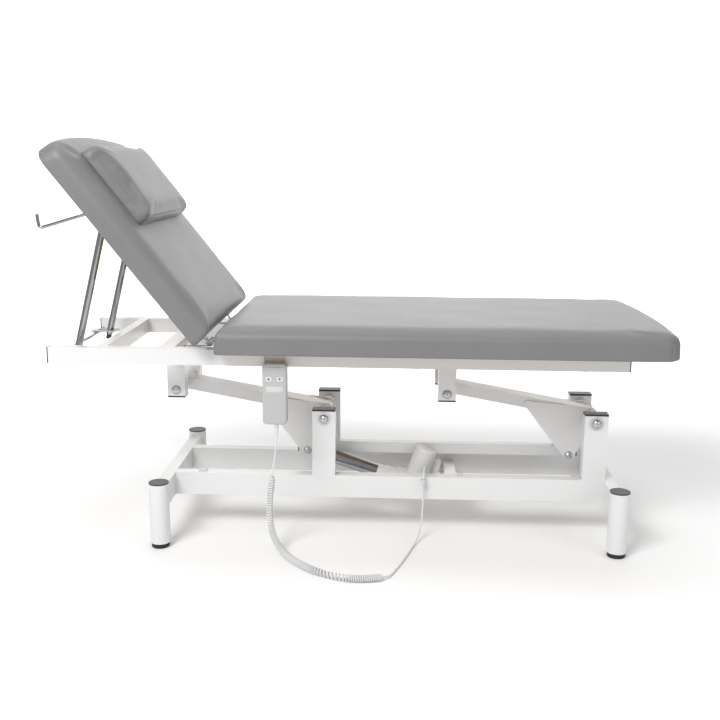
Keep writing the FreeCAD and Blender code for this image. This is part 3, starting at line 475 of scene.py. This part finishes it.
def apply_all(thing):
    """The mesh as its modifiers leave it."""
    graph = bpy.context.evaluated_depsgraph_get()
    mesh = bpy.data.meshes.new_from_object(thing.evaluated_get(graph), depsgraph=graph)
    thing.modifiers.clear()
    old = thing.data
    thing.data = mesh
    bpy.data.meshes.remove(old)
    for face in mesh.polygons:
        face.use_smooth = True


def puff(thing, voxel, pressure, cap):
    """Inflates the pad as cloth, with its underside held, and lets no point move further than the cap."""
    remesh = thing.modifiers.new("remesh", "REMESH")
    remesh.mode = "VOXEL"
    remesh.voxel_size = voxel
    apply_all(thing)
    start = [v.co.copy() for v in thing.data.vertices]
    pinned = thing.vertex_groups.new(name="held")
    pinned.add([v.index for v in thing.data.vertices if v.co.z < HELD_BELOW], 1.0, "REPLACE")
    cloth = thing.modifiers.new("cloth", "CLOTH")
    cloth.settings.quality = 5
    cloth.settings.mass = 0.3
    cloth.settings.tension_stiffness = STIFFNESS
    cloth.settings.compression_stiffness = STIFFNESS
    cloth.settings.shear_stiffness = STIFFNESS / 2
    cloth.settings.bending_stiffness = 0.8
    cloth.settings.use_pressure = True
    cloth.settings.uniform_pressure_force = pressure
    cloth.settings.effector_weights.gravity = 0
    cloth.settings.vertex_group_mass = "held"
    cloth.collision_settings.use_collision = False
    cloth.collision_settings.use_self_collision = False
    cloth.point_cache.frame_start = 1
    cloth.point_cache.frame_end = LAST_FRAME
    for moment in range(1, LAST_FRAME + 1):
        scene.frame_set(moment)
    apply_all(thing)
    thing.vertex_groups.clear()
    scene.frame_set(1)
    for vertex, was in zip(thing.data.vertices, start):
        moved = vertex.co - was
        if moved.length > 1e-9:
            vertex.co = was + moved * (cap * math.tanh(moved.length / cap) / moved.length)
    ease = thing.modifiers.new("ease", "SMOOTH")
    ease.factor = 0.5
    ease.iterations = 6
    finer = thing.modifiers.new("finer", "SUBSURF")
    finer.levels = 1
    finer.render_levels = 1
    apply_all(thing)


def soft_crown(thing, near, far, half, thick, rise, waves, depth):
    """A low crown over the top, sides that pull in between the corners, and slow unevenness in the skin."""
    middle = (near + far) / 2
    long = (far - near) / 2
    for vertex in thing.data.vertices:
        x, y, z = vertex.co
        u, v = (x - middle) / long, y / half
        lift = max(0.0, min(1.0, z / thick))
        dome = max(0.0, 1 - u ** 4) * max(0.0, 1 - v ** 4)
        vertex.co.z += rise * dome * lift
        ripple = (math.sin(waves * u * 2.1 + 3.1 * v + 0.7) * math.sin(waves * 0.8 * v * 1.7 - 2.3 * u + 1.9)
                  + 0.5 * math.sin(waves * 2.3 * u - 4.1 * v) * math.sin(waves * 1.9 * v + 2.7 * u))
        vertex.co.z += depth * ripple * lift
        rim = math.sin(math.pi * lift) ** 2
        vertex.co.y -= math.copysign(SIDE_PULL, y) * max(0.0, 1 - u ** 6) * abs(v) ** 8 * (1 - rim)
        vertex.co.x -= math.copysign(END_PULL, u) * max(0.0, 1 - v ** 6) * abs(u) ** 20 * (1 - rim)
    thing.data.update()


def tree_of(thing):
    """The surface of a piece, ready for finding its nearest point."""
    work = bmesh.new()
    work.from_mesh(thing.data)
    tree = BVHTree.FromBMesh(work)
    work.free()
    return tree


def on_skin(tree, path):
    """The route laid on the surface: a point and its normal at each step."""
    found = []
    for point in path:
        where, normal, _, _ = tree.find_nearest(point)
        found.append((where, normal))
    return found


def draw_in(thing, routes, width, depth):
    """Pulls the skin inwards along the seams."""
    spots = [spot for route in routes for spot in route]
    finder = KDTree(len(spots))
    for index, (where, _) in enumerate(spots):
        finder.insert(where, index)
    finder.balance()
    for vertex in thing.data.vertices:
        _, index, gap = finder.find(vertex.co)
        if gap < width:
            pull = depth * (0.5 + 0.5 * math.cos(math.pi * gap / width))
            vertex.co -= spots[index][1] * pull
    thing.data.update()


def seam(name, routes, body, matrix):
    """A fine sewn fold along each route, in vinyl darker than the pad's: painted shade in the seam's crease."""
    points, faces = [], []
    for route, closed in routes:
        line = [where - normal * FOLD_SINK for where, normal in route]
        rings = tube_rings(line, FOLD_RADIUS, 6, closed)
        if closed:
            rings.append(rings[0])
        faces += skin(rings, not closed, len(points))
        points += [p for ring in rings for p in ring]
    thing = piece(name, points, faces, FOLD_PAINTED_SHADE, slot="grey_vinyl")
    weld = bmesh.new()
    weld.from_mesh(thing.data)
    bmesh.ops.remove_doubles(weld, verts=weld.verts, dist=1e-6)
    weld.to_mesh(thing.data)
    weld.free()
    thing.data.transform(matrix)
    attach(thing, body)


def stitches(name, routes, body, matrix):
    """Short threads beside the seam, each a bent capsule that dips into the skin at both ends."""
    points, faces = [], []
    for tree, route in routes:
        line = even([where for where, _ in route], STITCH_STEP)
        for start in range(0, len(line) - STITCH_EVERY, STITCH_EVERY):
            a, b = line[start], line[start + STITCH_LONG]
            along = (b - a).normalized()
            _, normal, _, _ = tree.find_nearest((a + b) / 2)
            across = normal.cross(along).normalized() * STITCH_OFFSET
            run = []
            for share in (0, 0.25, 0.5, 0.75, 1):
                spot, way, _, _ = tree.find_nearest(a.lerp(b, share) + across)
                run.append(spot + way * (THREAD_RISE * math.sin(math.pi * share) - THREAD_SINK))
            rings = tube_rings(run, THREAD_RADIUS, 5)
            faces += skin(rings, True, len(points))
            points += [p for ring in rings for p in ring]
    thing = piece(name, points, faces, THREAD, slot="grey_vinyl")
    thing.data.transform(matrix)
    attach(thing, body)


def cut(thing, tool):
    """Takes the tool's shape out of the piece, and then removes the tool."""
    cutter = thing.modifiers.new("cut", "BOOLEAN")
    cutter.operation = "DIFFERENCE"
    cutter.solver = "EXACT"
    cutter.object = tool
    bpy.context.view_layer.update()
    apply_all(thing)
    bpy.data.objects.remove(tool)


def hollow(thing, boxes):
    """Cuts the rooms for the board and the hinge leaves out of the underside."""
    for (x0, x1), (y0, y1), (z0, z1) in boxes:
        points = [(x, y, z) for x in (x0, x1) for y in (y0, y1) for z in (z0, z1)]
        faces = [(0, 1, 3, 2), (4, 6, 7, 5), (0, 4, 5, 1), (2, 3, 7, 6), (0, 2, 6, 4), (1, 5, 7, 3)]
        cut(thing, piece("room", points, faces, FOLD_PAINTED_SHADE, smooth=False))


def finish_pad(thing, name, matrix, body, node):
    """Puts the finished pad in its place on its body."""
    thing.name = name
    thing.data.materials.clear()
    thing.data.materials.append(FINISH["grey_vinyl"])
    thing.data.transform(matrix)
    thing.data.update()
    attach(thing, body)
    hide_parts(node)


def ring_path(shape, inset, height, step=0.004):
    """A line round the pad at one height."""
    outline = [Vector((x, y, height)) for x, y in plan(*shape, inset)]
    return even(outline + [outline[0]], step)[:-1]


def wall_path(shape, x, side, low, high):
    """A line straight up the side of the pad."""
    outline = plan(*shape, 0.0)
    near = min((p for p in outline if p[1] * side > 0), key=lambda p: abs(p[0] - x))
    return [Vector((near[0], near[1], low + (high - low) * k / 12)) for k in range(13)]


HINGE = (-0.378, 0, 0.525)
RECLINE = math.radians(51.5)
seat_place = Matrix.Translation((0, 0, 0.510))
back_place = Matrix.Translation(HINGE) @ Matrix.Rotation(RECLINE, 4, "Y") @ Matrix.Rotation(math.pi, 4, "Z")
pillow_place = back_place @ Matrix.Translation((0, 0, 0.0612))


def upholster(name, node, body, matrix, near, far, half, thick, bow, corner, near_corner, edge, cap, rise, waves,
              depth, rooms, seam_low, corner_seams, voxel, pressure=4.0):
    """One pad from start to end: block, cloth, crown, grooves, rooms, folds and stitches."""
    shape = (near + 0.0005, far - SLIM, half - SLIM, bow, corner, near_corner)
    top = thick - SLIM
    wall_foot = LOWER_EDGE[-1][0]
    profile = list(LOWER_EDGE)
    for k in range(1, WALL_STEPS):
        profile.append((wall_foot + (top - edge - wall_foot) * k / WALL_STEPS, 0.0))
    for k in range(EDGE_STEPS + 1):
        turn = math.pi / 2 * k / EDGE_STEPS
        profile.append((top - edge + edge * math.sin(turn), edge - edge * math.cos(turn)))
    pad = pad_solid(name, shape, profile, FINISH["grey_vinyl"])
    puff(pad, voxel, pressure, cap)
    soft_crown(pad, near, far, half, thick, rise, waves, depth)
    tree = tree_of(pad)
    rim = ring_path(shape, RIM_INSET, top - seam_low)
    whole = not corner_seams
    if not whole:
        rim = [point for point in rim if point.x >= corner_seams[0][0]]
    loop = on_skin(tree, rim)
    uprights = [on_skin(tree, wall_path(shape, x, side, UPRIGHT_FROM, top - seam_low)) for x, side in corner_seams]
    draw_in(pad, [loop] + uprights, GROOVE_WIDTH, GROOVE_DEPTH)
    tree = tree_of(pad)
    loop = on_skin(tree, [where for where, _ in loop])
    uprights = [on_skin(tree, [where for where, _ in route]) for route in uprights]
    if rooms:
        hollow(pad, rooms)
    seam(name + "_seams", [(loop, whole)] + [(route, False) for route in uprights], body, matrix)
    sewn = [loop + loop[:1] if whole else loop] + uprights
    stitches(name + "_stitches", [(tree, route) for route in sewn], body, matrix)
    finish_pad(pad, name, matrix, body, node)


HALF_WIDTH = 0.315
BOARD_ROOM = (-0.301, 0.301)
upholster("seat_pad", "seat_cushion", "upper_frame", seat_place, near=-0.339, far=0.792, half=HALF_WIDTH, thick=0.063,
          bow=0.020, corner=0.050, near_corner=0.012, edge=0.021, cap=0.006, rise=0.003, waves=5, depth=0.0005,
          rooms=[((-0.325, 0.710), BOARD_ROOM, (-0.01, 0.0151))], seam_low=0.0135,
          corner_seams=[(0.742, -1), (0.742, 1), (-0.331, -1), (-0.331, 1)], voxel=0.0065)
upholster("backrest_pad", "backrest_cushion", "backrest", back_place, near=0.0, far=0.603, half=HALF_WIDTH,
          thick=0.060, bow=0.024, corner=0.055, near_corner=0.012, edge=0.021, cap=0.006, rise=0.003, waves=5, depth=0.0005,
          rooms=[((0.014, 0.528), BOARD_ROOM, (-0.01, 0.0191)),
                 ((-0.01, 0.0163), (-0.1811, -0.1589), (-0.0101, 0.0047)),
                 ((-0.01, 0.0163), (0.1589, 0.1811), (-0.0101, 0.0047))], seam_low=0.0135,
          corner_seams=[(0.566, -1), (0.566, 1), (0.008, -1), (0.008, 1)], voxel=0.0065)
upholster("head_pillow", "pillow", "backrest", pillow_place, near=0.305, far=0.535, half=0.225, thick=0.044,
          bow=0.004, corner=0.022, near_corner=0.020, edge=0.014, cap=0.008, rise=0.0035, waves=3, depth=0.0007,
          rooms=[], seam_low=0.010, corner_seams=[], voxel=0.0045, pressure=5.0)

# ---- handset --------------------------------------------------------------------------------------
# Sides, lower and upper end, front face, joint between the shells and back face of the handset.
HAND_LEFT, HAND_RIGHT, HAND_LOW, HAND_HIGH = -0.224, -0.164, 0.330, 0.484
FRONT, SPLIT, BACK = -0.262, -0.247, -0.234
WALL, CORNER, ROUND_STEPS = 0.002, 0.010, 8
FACE_WALL, FRONT_ROUND, BACK_ROUND = 0.0022, 0.005, 0.004
# The keys: their middles, height and openings. The opening tools pass right through the front.
KEY_UP, KEY_DOWN, KEY_HEIGHT = -0.208, -0.181, 0.445
KEY_HALF, KEY_LOW, KEY_TOP = 0.0078, 0.4387, 0.4513
OUTSIDE = FRONT - 0.005


def rounded_plan(x0, x1, z0, z1, radius, inset, arc=8):
    """The outline of a block with round corners, seen from the front."""
    x0, x1, z0, z1 = x0 + inset, x1 - inset, z0 + inset, z1 - inset
    radius = max(0.0004, radius - inset)
    outline = []
    for cx, cz, turn0 in ((x1 - radius, z1 - radius, 0), (x0 + radius, z1 - radius, 90),
                          (x0 + radius, z0 + radius, 180), (x1 - radius, z0 + radius, 270)):
        for k in range(arc + 1):
            turn = math.radians(turn0 + 90 * k / arc)
            outline.append((cx + radius * math.cos(turn), cz + radius * math.sin(turn)))
    return outline


def rounded_block(name, x0, x1, z0, z1, radius, levels, material, **facts):
    """A block with round corners, from depths and how far each is inset."""
    rings = [[Vector((x, y, z)) for x, z in rounded_plan(x0, x1, z0, z1, radius, inset)] for y, inset in levels]
    return piece(name, [p for ring in rings for p in ring], skin(rings), material, **facts)


def carve(thing, tools):
    """Cuts each tool out of a shell and keeps its edges crisp."""
    for tool in tools:
        cut(thing, tool)
    sharp = thing.modifiers.new("edges", "EDGE_SPLIT")
    sharp.split_angle = math.radians(35)
    apply_all(thing)


def handset_tool(x0, x1, z0, z1, radius, deepest, start=OUTSIDE):
    """A block to cut the handset with."""
    return rounded_block("tool", x0, x1, z0, z1, radius, [(deepest, 0.0), (start, 0.0)], HANDSET)


def handset_shell(name, node, levels, tools):
    """Half of the handset's case, cut by its tools."""
    shell = rounded_block(name, HAND_LEFT, HAND_RIGHT, HAND_LOW, HAND_HIGH, CORNER, levels, HANDSET)
    carve(shell, tools)
    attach(shell, "upper_frame")
    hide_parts(node)


def inside(deepest, start):
    """The tool that hollows a shell and leaves its wall."""
    return handset_tool(HAND_LEFT + WALL, HAND_RIGHT - WALL, HAND_LOW + WALL, HAND_HIGH - WALL, 0.008, deepest, start)


front_levels = [(SPLIT - 0.0002, 0.0006), (SPLIT - 0.0008, 0.0)]
back_levels = [(SPLIT + 0.0002, 0.0006), (SPLIT + 0.0008, 0.0)]
for k in range(ROUND_STEPS + 1):
    turn = math.pi / 2 * k / ROUND_STEPS
    front_levels.append((FRONT + FRONT_ROUND - FRONT_ROUND * math.sin(turn),
                         FRONT_ROUND - FRONT_ROUND * math.cos(turn)))
    back_levels.append((BACK - BACK_ROUND + BACK_ROUND * math.sin(turn),
                        BACK_ROUND - BACK_ROUND * math.cos(turn)))
front_tools = [inside(SPLIT + 0.01, FRONT + FACE_WALL)]
for middle in (KEY_UP, KEY_DOWN):
    front_tools.append(handset_tool(middle - KEY_HALF, middle + KEY_HALF, KEY_LOW, KEY_TOP, 0.0006, FRONT + 0.01))
front_tools.append(handset_tool(-0.216, -0.177, 0.474, 0.4762, 0.0009, FRONT + 0.0014))
front_tools.append(handset_tool(-0.215, -0.173, 0.411, 0.427, 0.002, FRONT + 0.0005))
handset_shell("handset_front", "handset_front_shell", front_levels, front_tools)
handset_shell("handset_back", "handset_back_shell", back_levels, [inside(SPLIT - 0.01, BACK - FACE_WALL)])
rounded_block("handset_label_panel", -0.2146, -0.1734, 0.4114, 0.4266, 0.0018,
              [(FRONT + 0.0008, 0.0), (FRONT + 0.0004, 0.0), (FRONT + 0.0002, 0.0003)], INSET, body="upper_frame",
              slot="light_plastic")


def arrow(name, middle, way, body):
    """A small triangle printed on a key."""
    face = FRONT - 0.0006
    corners = [(middle - 0.0034, KEY_HEIGHT - way * 0.0024), (middle + 0.0034, KEY_HEIGHT - way * 0.0024),
               (middle, KEY_HEIGHT + way * 0.0030)]
    rings = []
    for y, share in ((face + 0.00005, 1.0), (face - 0.00012, 1.0), (face - 0.0002, 0.92)):
        ring = []
        for k in range(3):
            (ax, az), (bx, bz) = corners[k], corners[(k + 1) % 3]
            for t in (0.08, 0.36, 0.64, 0.92):
                x, z = ax + (bx - ax) * t, az + (bz - az) * t
                ring.append(Vector((middle + (x - middle) * share, y, KEY_HEIGHT + (z - KEY_HEIGHT) * share)))
        rings.append(ring)
    piece(name, [p for ring in rings for p in ring], skin(rings), GLYPH, body=body, slot="black_plastic",
          smooth=False)


arrow("arrow_up", KEY_UP, 1, "button_up")
arrow("arrow_down", KEY_DOWN, -1, "button_down")

# ---- studio ---------------------------------------------------------------------------------------
floor_finish = surface("studio_floor", (0.93, 0.93, 0.93), 0.7, tint=0.004, bump=0.02, scale=200, specular=0.2)
# The floor runs back, curves up and becomes the backdrop. It lies a little lower than the feet.
HALF_FLOOR, FLOOR_FRONT, CURVE_FROM, CURVE, WALL_TOP, FLOOR_DROP, CURVE_STEPS = 9.0, -7.0, 4.5, 2.0, 7.0, 0.0004, 12
rows = [(FLOOR_FRONT, 0.0), (CURVE_FROM, 0.0)]
for k in range(1, CURVE_STEPS + 1):
    turn = math.pi / 2 * k / CURVE_STEPS
    rows.append((CURVE_FROM + CURVE * math.sin(turn), CURVE - CURVE * math.cos(turn)))
rows.append((CURVE_FROM + CURVE, WALL_TOP))
floor_points = [(x, y, z - FLOOR_DROP) for y, z in rows for x in (-HALF_FLOOR, HALF_FLOOR)]
floor_faces = [(2 * k, 2 * k + 1, 2 * k + 3, 2 * k + 2) for k in range(len(rows) - 1)]
floor = piece("studio_floor", floor_points, floor_faces, floor_finish)


def area_light(name, place, target, size, power):
    """A soft rectangular light that points at its target."""
    data = bpy.data.lights.new(name, "AREA")
    data.shape = "RECTANGLE"
    data.size, data.size_y = size
    data.energy = power
    light = bpy.data.objects.new(name, data)
    scene.collection.objects.link(light)
    light.location = place
    light.rotation_euler = (Vector(target) - Vector(place)).to_track_quat("-Z", "Y").to_euler()


area_light("key", (-1.4, -2.7, 2.9), (0, 0, 0.5), (1.6, 1.2), 105)
area_light("fill", (2.8, -2.4, 1.8), (0, 0, 0.5), (1.6, 1.6), 16)
area_light("overhead", (0.1, 0.5, 3.6), (0, 0, 0.4), (3.4, 1.8), 34)
area_light("backdrop_wash", (0, 2.2, 3.2), (0, 6.4, 1.2), (7.0, 1.0), 330)
world = bpy.data.worlds.new("studio")
world.use_nodes = True
world.node_tree.nodes["Background"].inputs["Color"].default_value = (1, 1, 1, 1)
world.node_tree.nodes["Background"].inputs["Strength"].default_value = 0.46
scene.world = world
scene.view_settings.view_transform = "Standard"
scene.view_settings.look = "None"
